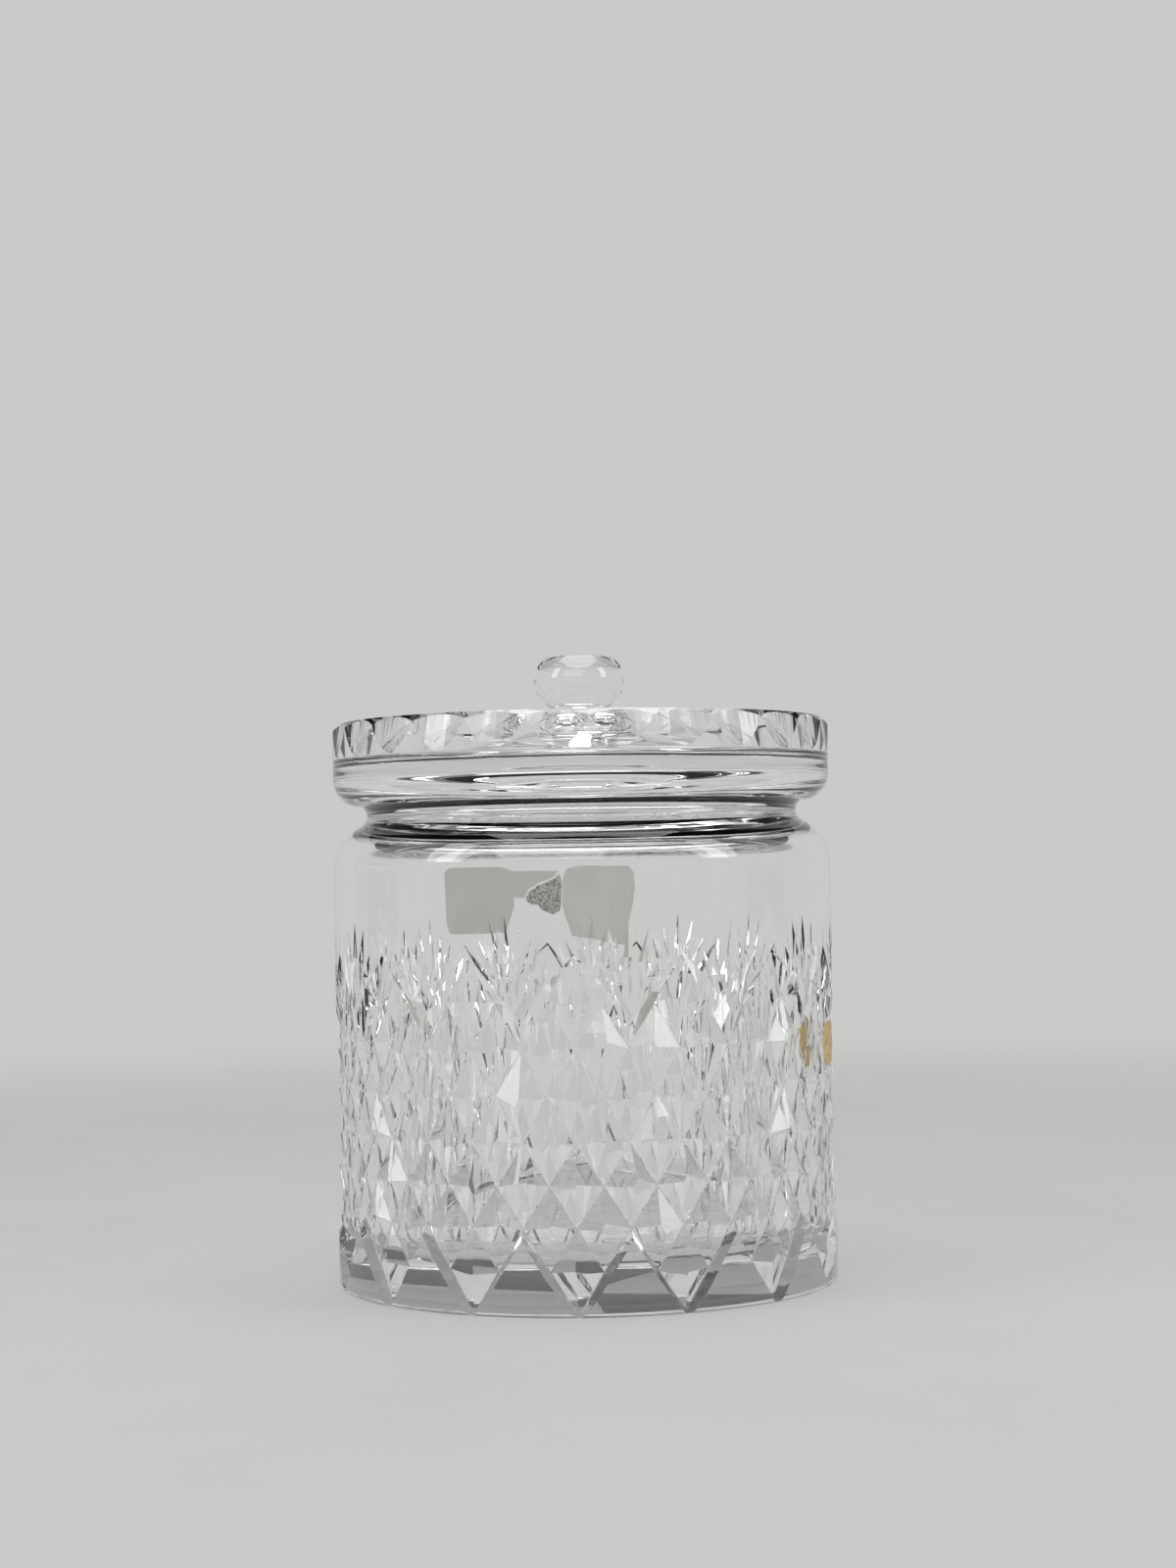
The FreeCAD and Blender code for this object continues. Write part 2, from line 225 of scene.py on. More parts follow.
def revolve(runs, name):
    """Closed mesh turned from a profile given as smooth runs of points."""
    points = [point for run in runs for point in run]
    mesh = bmesh.new()
    rings = []
    last = None
    for point in points:
        if last is not None and math.dist(point, last[0]) < SAME_SPOT:
            rings.append(last[1])
            continue
        if point[0] < ON_AXIS:
            ring = [mesh.verts.new((0, 0, point[1]))] * SEGMENTS
        else:
            ring = [mesh.verts.new((point[0] * math.cos(FULL_TURN * i / SEGMENTS),
                                    point[0] * math.sin(FULL_TURN * i / SEGMENTS), point[1]))
                    for i in range(SEGMENTS)]
        rings.append(ring)
        last = (point, ring)
    for low, high in zip(rings, rings[1:]):
        if low is high:
            continue
        for i in range(SEGMENTS):
            j = (i + 1) % SEGMENTS
            corners = []
            for vert in (low[i], low[j], high[j], high[i]):
                if vert not in corners:
                    corners.append(vert)
            if len(corners) > 2:
                mesh.faces.new(corners)
    bmesh.ops.recalc_face_normals(mesh, faces=mesh.faces)
    data = bpy.data.meshes.new(name)
    mesh.to_mesh(data)
    mesh.free()
    return data


def jar_profile():
    """Runs of the jar's section, from the foot up the outside and down the inside."""
    inner = WALL_RADIUS - WALL_THICKNESS
    throat = inner - INNER_SHOULDER
    ceiling = WALL_HEIGHT + INNER_SHOULDER
    shoulder = round_corner((WALL_RADIUS - SHOULDER_ROUND, WALL_HEIGHT), SHOULDER_ROUND, 0, SHOULDER_SWEEP)
    neck_height = MOUTH_HEIGHT - NECK_FILLET * math.sin(math.radians(LIP_SWEEP))
    neck = round_corner((NECK_RADIUS + NECK_FILLET, neck_height), NECK_FILLET, 180 + SHOULDER_SWEEP,
                        180 - LIP_SWEEP)
    land = neck[-1]
    lip = (MOUTH_RADIUS + MOUTH_EDGE, MOUTH_HEIGHT)
    edge = (MOUTH_RADIUS, MOUTH_HEIGHT - MOUTH_EDGE)
    wall = [(WALL_RADIUS, WALL_HEIGHT * i / WALL_PARTS) for i in range(1, WALL_PARTS)]
    inner_wall = [(inner, WALL_HEIGHT * i / WALL_PARTS) for i in range(WALL_PARTS - 1, 1, -1)]
    return [
        [(0.0, 0.0), (WALL_RADIUS - FOOT_ROUND, 0.0)],
        round_corner((WALL_RADIUS - FOOT_ROUND, FOOT_ROUND), FOOT_ROUND, -90, 0) + wall + shoulder + neck,
        [land, lip],
        [lip, edge],
        [edge] + round_corner((MOUTH_RADIUS + MOUTH_ROUND, ceiling + MOUTH_ROUND), MOUTH_ROUND, 180, 270)
        + round_corner((throat, WALL_HEIGHT), INNER_SHOULDER, 90, 0) + inner_wall
        + round_corner((inner - FLOOR_CORNER, FLOOR_THICKNESS + FLOOR_CORNER), FLOOR_CORNER, 0, -90)
        + [(0.0, FLOOR_THICKNESS)],
    ]


def lid_profile():
    """Runs of the section of the lid and knob, from under the dome round the rim to the knob's table."""
    seat = MOUTH_HEIGHT
    top = seat + RIM_HEIGHT
    inner = WALL_RADIUS - RIM_THICKNESS
    flange_outer = MOUTH_RADIUS - FLANGE_CLEARANCE
    flange_inner = flange_outer - FLANGE_THICKNESS
    ceiling_edge = seat + RECESS_FLOOR - PLATE_THICKNESS
    ceiling_centre = seat + DOME_CEILING
    corner = (inner - RECESS_ROUND, seat + RECESS_FLOOR + RECESS_ROUND)
    flare = round_corner((STEM_RADIUS + STEM_FLARE, seat + STEM_WAIST), STEM_FLARE, 180 + FLARE_SWEEP, 180)
    neck = (STEM_RADIUS, seat + KNOB_NECK)
    widest = (KNOB_RADIUS, seat + KNOB_WIDEST)
    table = (KNOB_TABLE, seat + KNOB_TOP)
    recess = round_corner(corner, RECESS_ROUND, 0, -90)
    dome = arc_through(recess[-1], (DOME_SHOULDER[0], seat + DOME_SHOULDER[1]), flare[0], DOME_STEPS)
    bottom = seat - FLANGE_DEPTH
    ceiling_mean = ceiling_centre * CEILING_SHARE + ceiling_edge * (1 - CEILING_SHARE)
    ceiling = arc_through((0.0, ceiling_centre), (flange_inner / 2, ceiling_mean),
                          (flange_inner, ceiling_edge))
    under = round_corner((WALL_RADIUS - UNDER_ROUND, seat + UNDER_ROUND), UNDER_ROUND, -90, 0)
    return [
        [(0.0, ceiling_centre)] + ceiling[1:],
        [(flange_inner, ceiling_edge), (flange_inner, bottom)],
        [(flange_inner, bottom), (flange_outer, bottom)],
        [(flange_outer, bottom), (flange_outer, seat)],
        [(flange_outer, seat)] + under + [(WALL_RADIUS, top - BEVEL_HEIGHT)],
        [(WALL_RADIUS, top - BEVEL_HEIGHT), (WALL_RADIUS - BEVEL_WIDTH, top)],
        [(WALL_RADIUS - BEVEL_WIDTH, top), (inner + INNER_BEVEL, top)],
        [(inner + INNER_BEVEL, top), (inner, top - INNER_BEVEL)],
        [(inner, top - INNER_BEVEL)] + recess + dome[1:] + flare[1:] + [neck],
        arc_through(neck, (KNOB_BELLY[0], seat + KNOB_BELLY[1]), widest, BALL_STEPS)
        + arc_through(widest, (KNOB_BROW[0], seat + KNOB_BROW[1]), table, BALL_STEPS)[1:],
        [table, (0.0, table[1])],
    ]


def row_height(row):
    """Height of a row of crossings in the lattice."""
    return LATTICE_FOOT + min(row, LOWER_ROWS) * LOWER_PITCH + max(row - LOWER_ROWS, 0) * UPPER_PITCH


def solid_mesh(name, faces, blunt):
    """Welded mesh from lists of corner points, with blunt groove edges where asked."""
    mesh = bmesh.new()
    for corners in faces:
        mesh.faces.new([mesh.verts.new(corner) for corner in corners])
    bmesh.ops.remove_doubles(mesh, verts=mesh.verts, dist=WELD)
    bmesh.ops.recalc_face_normals(mesh, faces=mesh.faces)
    if blunt:
        deep = WALL_RADIUS - GROOVE_DEPTH + TOUCH
        grooves = [edge for edge in mesh.edges
                   if all(math.hypot(end.co.x, end.co.y) < deep for end in edge.verts)
                   and edge.calc_face_angle(0.0) > GROOVE_SHARP]
        bmesh.ops.bevel(mesh, geom=grooves, offset=GROOVE_NOSE, offset_type="OFFSET", segments=NOSE_STEPS,
                        profile=0.5, affect="EDGES", clamp_overlap=True)
    data = bpy.data.meshes.new(name)
    mesh.to_mesh(data)
    mesh.free()
    return data


def hipped(corners, point, length, leans_right):
    """Four flanks of a diamond, two of which meet in a short slanting ridge."""
    top, right, bottom, left = corners
    if not leans_right:
        left, right = right, left
    upper = (top - left).cross(point - left)
    lower = (right - bottom).cross(point - bottom)
    ridge = upper.cross(lower).normalized()
    if ridge.z < 0:
        ridge = -ridge
    low, high = point - ridge * (length / 2), point + ridge * (length / 2)
    return [[left, top, high, low], [bottom, right, high, low], [top, right, high], [left, bottom, low]]


def lattice_faces():
    """Faceted ring that the cutting wheel clears from the wall, with a hand cutter's wander."""
    wander = {}
    for row in range(ROWS + 1):
        for column in range(COLUMNS):
            free = 0 < row < ROWS
            wander[column, row] = (rng.uniform(-1, 1) * CROSSING_WANDER * free,
                                   rng.uniform(-1, 1) * CROSSING_WANDER * free)

    def crossing(column, row, depth):
        across, rise = wander[column % COLUMNS, row]
        angle = LATTICE_TURN + HALF_STEP * column + math.degrees(across / WALL_RADIUS)
        return polar(WALL_RADIUS - depth, angle, row_height(row) + rise)

    faces = []
    for row in range(1, ROWS):
        for column in range(COLUMNS):
            end_row = row in (1, ROWS - 1)
            if (row + column) % 2 == 0 or (end_row and column % 4 != 0):
                continue
            across = rng.uniform(-1, 1) * POINT_WANDER[0]
            rise = rng.uniform(-1, 1) * POINT_WANDER[1]
            sink = rng.uniform(0, 1) * POINT_SINK
            point = polar(WALL_RADIUS - POINT_DEPTH - sink,
                          LATTICE_TURN + HALF_STEP * column + math.degrees(across / WALL_RADIUS),
                          row_height(row) + rise)
            top_depth = TIP_DEPTH if row + 1 == ROWS else GROOVE_DEPTH
            corners = [crossing(column, row + 1, top_depth), crossing(column + 1, row, GROOVE_DEPTH),
                       crossing(column, row - 1, GROOVE_DEPTH), crossing(column - 1, row, GROOVE_DEPTH)]
            faces += hipped(corners, point, rng.uniform(*RIDGE_LENGTH), rng.random() < 0.5)

    def boundary(column, upper):
        phase = column % 4
        steps = [0, 1, 2, 1][phase]
        leaning = [0, 1, 0, -1][phase]
        angle = LATTICE_TURN + HALF_STEP * column
        if upper:
            row = ROWS - steps
            depth = TIP_DEPTH if steps == 0 else GROOVE_DEPTH
            rise = [ARCH_TIP_RISE, ARCH_WIDTH, ARCH_ROOT_RISE, ARCH_WIDTH][phase]
            swing = ARCH_WIDTH * ARCH_SWING * leaning
        else:
            row = steps
            depth = GROOVE_DEPTH
            rise = -[FOOT_WIDTH, FOOT_WIDTH, FOOT_ROOT_DROP, FOOT_WIDTH][phase]
            swing = FOOT_WIDTH * FOOT_SWING * leaning
        angle += math.degrees(swing / WALL_RADIUS)
        lip = polar(WALL_RADIUS + STAND_OFF, angle, row_height(row) + rise)
        back = polar(WALL_RADIUS + CUTTER_SHELL, angle, row_height(row) + rise)
        return crossing(column, row, depth), lip, back

    for column in range(COLUMNS):
        low = [boundary(column, False), boundary(column + 1, False)]
        high = [boundary(column, True), boundary(column + 1, True)]
        for pair in (low, high):
            for level in (0, 1):
                a, b = pair[0][level], pair[1][level]
                c, d = pair[1][level + 1], pair[0][level + 1]
                faces += [[a, b, c], [a, c, d]]
        a, b, c, d = low[0][2], low[1][2], high[1][2], high[0][2]
        faces += [[a, b, c], [a, c, d]]
    return faces


def ray_faces(centre, lean, tip_rise):
    """One leaf-shaped mitre cut with a curved keel, pointed at both ends."""
    base = row_height(ROWS - 2)
    root = base + RAY_ROOT
    tip = base + tip_rise
    lip = WALL_RADIUS + STAND_OFF
    root_lean = lean * RAY_ROOT_SPREAD

    def spot(share, sideways, radius):
        across = root_lean + (lean - root_lean) * share + sideways
        return polar(radius, centre + math.degrees(across / WALL_RADIUS), root + (tip - root) * share)

    half = RAY_WIDTH / 2 * (1 + STAND_OFF / RAY_DEPTH)
    reach = STAND_OFF / (RAY_DEPTH + STAND_OFF)
    start = spot(-RAY_BELLY * reach, 0, lip)
    end = spot(1 + (1 - RAY_BELLY) * reach, 0, lip)
    keel = spot(RAY_BELLY, 0, WALL_RADIUS - RAY_DEPTH)
    left = spot(RAY_BELLY, -half, lip)
    right = spot(RAY_BELLY, half, lip)
    crown = spot(RAY_BELLY, 0, lip + STAND_OFF * 2)
    return [[end_point, side, inner] for side in (left, right) for end_point in (start, end)
            for inner in (keel, crown)]


def wheel_faces(radius, half_angle, length, depth, steps):
    """Prism whose lower side is a shallow cylinder, along Y, with its crest at the origin."""
    curve = []
    for i in range(steps + 1):
        a = -half_angle + 2 * half_angle * i / steps
        curve.append((radius * math.sin(a), radius * (1 - math.cos(a))))
    outline = curve + [(curve[-1][0], depth), (curve[0][0], depth)]
    near = [Vector((x, -length / 2, z)) for x, z in outline]
    far = [Vector((x, length / 2, z)) for x, z in outline]
    faces = [near, far[::-1]]
    for i in range(len(outline)):
        j = (i + 1) % len(outline)
        faces.append([near[i], near[j], far[j], far[i]])
    return faces


def placed(faces, matrix):
    """Faces moved to where a cutter works."""
    return [[matrix @ corner for corner in corners] for corners in faces]


def thumb_faces(index):
    """Thumb cut that leans in at the rim's top and fades out below it."""
    angle = THUMB_TURN + 360.0 / THUMB_COUNT * (index + 0.5)
    outward = polar(1, angle, 0)
    tilt = math.atan2(THUMB_DEPTH, THUMB_HEIGHT)
    along = Vector((0, 0, 1)) * math.cos(tilt) - outward * math.sin(tilt)
    away = outward * math.cos(tilt) + Vector((0, 0, 1)) * math.sin(tilt)
    side = along.cross(away)
    place = outward * WALL_RADIUS + Vector((0, 0, MOUTH_HEIGHT + RIM_HEIGHT - THUMB_HEIGHT))
    matrix = Matrix.Translation(place) @ Matrix((side, along, away)).transposed().to_4x4()
    return placed(wheel_faces(THUMB_WHEEL, THUMB_SPAN, *THUMB_CUTTER, THUMB_STEPS), matrix)


def scoop_faces(index):
    """Wheel that hollows one side of the stem."""
    outward = polar(1, 360.0 / FACET_COUNT * index, 0)
    across = outward.cross(Vector((0, 0, 1)))
    place = outward * (STEM_RADIUS - SCOOP_DEPTH) + Vector((0, 0, MOUTH_HEIGHT + SCOOP_HEIGHT))
    matrix = Matrix.Translation(place) @ Matrix((Vector((0, 0, 1)), across, outward)).transposed().to_4x4()
    return placed(wheel_faces(SCOOP_RADIUS, SCOOP_SPAN, *SCOOP_CUTTER, SCOOP_STEPS), matrix)


def facet_faces(index):
    """Flat between the knob's table and its side."""
    outward = polar(1, 360.0 / FACET_COUNT * index, 0)
    across = outward.cross(Vector((0, 0, 1)))
    slope = math.atan2(FACET_DROP, FACET_FOOT - FACET_TABLE)
    down = outward * math.cos(slope) - Vector((0, 0, 1)) * math.sin(slope)
    away = outward * math.sin(slope) + Vector((0, 0, 1)) * math.cos(slope)
    place = outward * FACET_TABLE + Vector((0, 0, MOUTH_HEIGHT + KNOB_TOP))
    matrix = Matrix.Translation(place) @ Matrix((down, across, away)).transposed().to_4x4()
    low = [Vector((x * FACET_BLOCK, y * FACET_BLOCK, 0)) for x, y in SQUARE]
    high = [p + Vector((0, 0, FACET_BLOCK)) for p in low]
    box = [low, high[::-1]] + [[low[i], low[(i + 1) % 4], high[(i + 1) % 4], high[i]] for i in range(4)]
    return placed(box, matrix)


def cut(blank, cutters, name, blunt=0):
    """Exact boolean of a blank with cutters, the first few blunt, whose faces carry the second material."""
    marks = [bpy.data.materials.new("mark_smooth"), bpy.data.materials.new("mark_cut")]
    work = bpy.data.objects.new(name, blank)
    bpy.context.scene.collection.objects.link(work)
    for mark in marks:
        blank.materials.append(mark)
    tools = bpy.data.collections.new(name + "_cutters")
    for index, faces in enumerate(cutters):
        data = solid_mesh("cutter_%03d" % index, faces, index < blunt)
        for mark in marks:
            data.materials.append(mark)
        for face in data.polygons:
            face.material_index = CUT
        tools.objects.link(bpy.data.objects.new(data.name, data))
    boolean = work.modifiers.new("cut", "BOOLEAN")
    boolean.operation = "DIFFERENCE"
    boolean.solver = "EXACT"
    boolean.operand_type = "COLLECTION"
    boolean.collection = tools
    graph = bpy.context.evaluated_depsgraph_get()
    result = bpy.data.meshes.new_from_object(work.evaluated_get(graph))
    for tool in list(tools.objects):
        bpy.data.objects.remove(tool)
    bpy.data.collections.remove(tools)
    bpy.data.objects.remove(work)
    for mark in marks:
        bpy.data.materials.remove(mark)
    return result


def profile_slopes(runs):
    """Segments of the profile, each with the unit normals at its two ends."""
    segments = []
    for run in runs:
        slopes = []
        for index in range(len(run)):
            before, after = run[max(index - 1, 0)], run[min(index + 1, len(run) - 1)]
            size = math.dist(before, after)
            slopes.append(((after[1] - before[1]) / size, (before[0] - after[0]) / size))
        for index in range(len(run) - 1):
            segments.append((run[index], run[index + 1], slopes[index], slopes[index + 1]))
    return segments


def profile_normal(segments, radius, height, across, rise):
    """Normal in the profile plane, for the segment nearest a point whose face leans this way."""
    best = None
    for (ax, az), (bx, bz), start, end in segments:
        dx, dz = bx - ax, bz - az
        share = ((radius - ax) * dx + (height - az) * dz) / (dx * dx + dz * dz)
        share = min(max(share, 0.0), 1.0)
        gap = math.hypot(ax + dx * share - radius, az + dz * share - height)
        nr = start[0] + (end[0] - start[0]) * share
        nz = start[1] + (end[1] - start[1]) * share
        agree = nr * across + nz * rise
        miss = gap * GAP_WEIGHT + 1 - abs(agree)
        if best is None or miss < best[0]:
            sign = 1 if agree >= 0 else -1
            best = (miss, nr * sign, nz * sign)
    return best[1:]


def shade(data, runs, crease):
    """Exact normals on turned faces, and flat or smooth ones on cut faces by their crease angle."""
    for face in data.polygons:
        face.use_smooth = True
    mesh = bmesh.new()
    mesh.from_mesh(data)
    for edge in mesh.edges:
        if len(edge.link_faces) == 2:
            kinds = {face.material_index for face in edge.link_faces}
            edge.smooth = len(kinds) == 1 and edge.calc_face_angle(0.0) < crease
    mesh.to_mesh(data)
    mesh.free()
    segments = profile_slopes(runs)
    known = {}
    normals = [tuple(corner.vector) for corner in data.corner_normals]
    for face in data.polygons:
        if face.material_index != SMOOTH:
            continue
        centre = face.center
        reach = math.hypot(centre.x, centre.y)
        across = (face.normal.x * centre.x + face.normal.y * centre.y) / reach
        for loop in face.loop_indices:
            point = data.vertices[data.loops[loop].vertex_index].co
            radius = math.hypot(point.x, point.y)
            key = (round(radius, 2), round(point.z, 2), round(across, 1), round(face.normal.z, 1))
            if key not in known:
                known[key] = profile_normal(segments, radius, point.z, across, face.normal.z)
            nr, nz = known[key]
            if radius > SAME_SPOT:
                normals[loop] = Vector((nr * point.x / radius, nr * point.y / radius, nz)).normalized()
            else:
                normals[loop] = Vector((0, 0, math.copysign(1, face.normal.z)))
    data.normals_split_custom_set(normals)


def add_piece(name, data, body, slot, material, *nodes):
    """Piece in metres that rides on a body and stands for nodes of the solids; the slot it is given is not
    used.
    """
    data.transform(Matrix.Scale(MM, 4))
    piece = bpy.data.objects.new(name, data)
    bpy.context.scene.collection.objects.link(piece)
    data.materials.clear()
    data.materials.append(material)
    for face in data.polygons:
        face.material_index = 0
    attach(piece, body)
    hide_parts(*nodes)


def node_tree(name):
    """New material with its nodes, its links, its shader and its output."""
    material = bpy.data.materials.new(name)
    material.use_nodes = True
    nodes = material.node_tree.nodes
    links = material.node_tree.links
    return material, nodes, links, nodes["Principled BSDF"], nodes["Material Output"]


CRYSTAL_TINT = (0.99, 0.99, 0.99, 1.0)
CRYSTAL_CLEAR = (0.92, 0.92, 0.92, 1.0)
CRYSTAL_IOR = 1.55
RIPPLE_SCALE = 40.0
RIPPLE_HEIGHT = 0.00001


def glass(name):
    """Clear lead crystal with faint hand-made ripples, which lets lamps through to the floor."""
    material, nodes, links, shader, output = node_tree(name)
    shader.inputs["Transmission Weight"].default_value = 1.0
    shader.inputs["IOR"].default_value = CRYSTAL_IOR
    shader.inputs["Roughness"].default_value = 0.0
    shader.inputs["Base Color"].default_value = CRYSTAL_TINT
    where = nodes.new("ShaderNodeTexCoord")
    ripple = nodes.new("ShaderNodeTexNoise")
    ripple.inputs["Scale"].default_value = RIPPLE_SCALE
    ripple.inputs["Detail"].default_value = 2.0
    bump = nodes.new("ShaderNodeBump")
    bump.inputs["Strength"].default_value = 1.0
    bump.inputs["Distance"].default_value = RIPPLE_HEIGHT
    links.new(where.outputs["Object"], ripple.inputs["Vector"])
    links.new(ripple.outputs["Fac"], bump.inputs["Height"])
    links.new(bump.outputs["Normal"], shader.inputs["Normal"])
    clear = nodes.new("ShaderNodeBsdfTransparent")
    clear.inputs["Color"].default_value = CRYSTAL_CLEAR
    light_path = nodes.new("ShaderNodeLightPath")
    mix = nodes.new("ShaderNodeMixShader")
    links.new(light_path.outputs["Is Shadow Ray"], mix.inputs["Fac"])
    links.new(shader.outputs["BSDF"], mix.inputs[1])
    links.new(clear.outputs["BSDF"], mix.inputs[2])
    open_mix = nodes.new("ShaderNodeMixShader")
    links.new(light_path.outputs["Is Diffuse Ray"], open_mix.inputs["Fac"])
    links.new(mix.outputs["Shader"], open_mix.inputs[1])
    links.new(clear.outputs["BSDF"], open_mix.inputs[2])
    links.new(open_mix.outputs["Shader"], output.inputs["Surface"])
    return material


def make_jar(material):
    """Jar with its lattice and its fans of rays."""
    runs = jar_profile()
    cutters = [lattice_faces()]
    for repeat in range(REPEATS):
        centre = LATTICE_TURN + HALF_STEP * (4 * repeat + 2)
        for lean, tip in zip(RAY_LEANS, RAY_TIPS):
            cutters.append(ray_faces(centre, lean, tip))
    data = cut(revolve(runs, "jar_blank"), cutters, "jar_cut", blunt=1)
    shade(data, runs, JAR_CREASE)
    add_piece("cut_glass_jar", data, "jar", "jar_glass", material, "jar_body")


def make_lid(material):
    """Lid and knob with their thumb cuts, scoops and facets."""
    runs = lid_profile()
    cutters = [thumb_faces(index) for index in range(THUMB_COUNT)]
    cutters += [scoop_faces(index) for index in range(FACET_COUNT)]
    cutters += [facet_faces(index) for index in range(FACET_COUNT)]
    data = cut(revolve(runs, "lid_blank"), cutters, "lid_cut")
    shade(data, runs, LID_CREASE)
    add_piece("glass_lid_with_knob", data, "lid", "lid_glass", material, "lid", "lid_knob")


make_jar(glass("jar_crystal"))
make_lid(glass("lid_crystal"))


# Torn label and seal, with outlines in millimetres across and up as seen from the front
LABEL_HEIGHT = 108.4
LABEL_LEFT = [(-41.8, -1.2), (-40.3, -0.1), (-25.0, 0.0), (-21.1, -1.2), (-7.6, -1.4), (-9.0, -3.1),
              (-12.9, -4.4), (-16.8, -6.6), (-17.9, -9.0), (-21.0, -8.6), (-21.2, -11.5),
              (-23.7, -18.4), (-31.0, -18.7), (-40.3, -18.5), (-41.4, -15.4)]
LABEL_RIGHT = [(-5.0, -0.9), (-0.7, 0.0), (13.7, -0.3), (15.4, -2.1), (15.7, -6.3), (15.2, -9.9),
               (13.7, -16.1), (12.7, -22.6), (6.4, -21.6), (3.3, -20.8), (-3.5, -19.9), (-5.3, -15.0),
               (-6.4, -11.0), (-6.1, -3.8)]
RESIDUE = [(-7.3, -2.4), (-6.6, -4.1), (-6.9, -10.9), (-7.3, -12.6), (-9.2, -13.6), (-11.8, -12.6),
           (-13.6, -10.9), (-16.4, -10.4), (-17.3, -9.3), (-16.2, -7.1), (-12.4, -5.0), (-8.6, -3.6)]
SEAL_ANGLE = 72.5
SEAL_HEIGHT = 62.0
SEAL = [(-4.4, 4.6), (-2.2, 5.7), (3.0, 5.2), (4.9, 2.2), (4.6, -3.4), (2.1, -5.6), (-3.2, -5.0),
        (-4.9, -1.0)]
LABEL_ANGLE = 180.0
LABEL_TEAR = 0.25
GLUE_TEAR = 0.7
SEAL_TEAR = 0.3
PAPER_GAP = 0.16
PAPER_THICKNESS = 0.10
CREASE_HEIGHT = 0.02
CREASE_LIFT = 0.8
TEAR_STEP = 0.5
GRID_STEP = 1.0


def torn_patch(name, outline, centre, height, tear):
    """Thin sheet with a ragged outline that follows the wall, with faint creases."""
    edge = []
    for index, (x, z) in enumerate(outline):
        nx, nz = outline[(index + 1) % len(outline)]
        span = math.hypot(nx - x, nz - z)
        count = max(1, round(span / TEAR_STEP))
        for i in range(count):
            pull = rng.uniform(0, 1) * tear if i else 0.0
            share = i / count
            edge.append(Vector((x + (nx - x) * share - (nz - z) / span * pull * 0.5,
                                z + (nz - z) * share + (nx - x) / span * pull * 0.5)))
    xs = [p.x for p in edge]
    zs = [p.y for p in edge]
    inner = [Vector((x * GRID_STEP, z * GRID_STEP))
             for x in range(int(min(xs) / GRID_STEP), int(max(xs) / GRID_STEP) + 1)
             for z in range(int(min(zs) / GRID_STEP) - 1, int(max(zs) / GRID_STEP) + 1)]
    loop = list(range(len(edge)))
    points, _, faces, _, _, _ = delaunay_2d_cdt(edge + inner, [], [loop], 1, WELD)
    mesh = bmesh.new()
    layers = []
    for lift in (PAPER_GAP, PAPER_GAP + PAPER_THICKNESS):
        layer = []
        for p in points:
            crease = CREASE_HEIGHT * math.sin(p.x * 1.9 + 0.6 * math.sin(p.y * 0.8)) + CREASE_HEIGHT
            radius = WALL_RADIUS + lift + crease * CREASE_LIFT
            x = min(max(p.x / radius, -1), 1)
            turn = math.asin(x)
            layer.append(mesh.verts.new((radius * math.sin(turn), radius * math.cos(turn), height + p.y)))
        layers.append(layer)
    rim = {}
    for face in faces:
        mesh.faces.new([layers[0][i] for i in face])
        mesh.faces.new([layers[1][i] for i in reversed(face)])
        for a, b in zip(face, face[1:] + face[:1]):
            if (b, a) in rim:
                del rim[b, a]
            else:
                rim[a, b] = True
    for a, b in rim:
        mesh.faces.new([layers[0][b], layers[0][a], layers[1][a], layers[1][b]])
    bmesh.ops.delete(mesh, geom=[v for v in mesh.verts if not v.link_faces], context="VERTS")
    bmesh.ops.recalc_face_normals(mesh, faces=mesh.faces)
    data = bpy.data.meshes.new(name)
    mesh.to_mesh(data)
    mesh.free()
    data.transform(Matrix.Rotation(math.radians(centre - 180.0), 4, "Z"))
    return data


def mixed_colours(nodes, links, factor, low, high, start=0.3, end=0.7):
    """Colour between two others by a factor."""
    ramp = nodes.new("ShaderNodeValToRGB")
    ramp.color_ramp.elements[0].position = start
    ramp.color_ramp.elements[0].color = (*low, 1)
    ramp.color_ramp.elements[1].position = end
    ramp.color_ramp.elements[1].color = (*high, 1)
    links.new(factor, ramp.inputs["Fac"])
    return ramp.outputs["Color"]


def noise(nodes, links, scale, detail, stretch=(1, 1, 1)):
    """Noise fixed to the object."""
    where = nodes.new("ShaderNodeTexCoord")
    mapping = nodes.new("ShaderNodeMapping")
    mapping.inputs["Scale"].default_value = stretch
    texture = nodes.new("ShaderNodeTexNoise")
    texture.inputs["Scale"].default_value = scale
    texture.inputs["Detail"].default_value = detail
    links.new(where.outputs["Object"], mapping.inputs["Vector"])
    links.new(mapping.outputs["Vector"], texture.inputs["Vector"])
    return texture.outputs["Fac"]


def bump(nodes, links, shader, height, distance):
    """Relief on a shader, with its height in metres."""
    node = nodes.new("ShaderNodeBump")
    node.inputs["Distance"].default_value = distance
    links.new(height, node.inputs["Height"])
    links.new(node.outputs["Normal"], shader.inputs["Normal"])


PAPER = ((0.70, 0.69, 0.64), (0.78, 0.77, 0.72))
GLUE = ((0.13, 0.13, 0.11), (0.55, 0.54, 0.48))
FOIL = ((0.55, 0.36, 0.10), (0.86, 0.66, 0.26))


def paper_material():
    """Aged cream paper with fibres and faint stains."""
    material, nodes, links, shader, _ = node_tree("aged_label_paper")
    stains = noise(nodes, links, 90.0, 4.0)
    links.new(mixed_colours(nodes, links, stains, *PAPER), shader.inputs["Base Color"])
    bump(nodes, links, shader, noise(nodes, links, 2200.0, 3.0, (1, 1, 0.4)), 0.00003)
    shader.inputs["Roughness"].default_value = 0.8
    return material


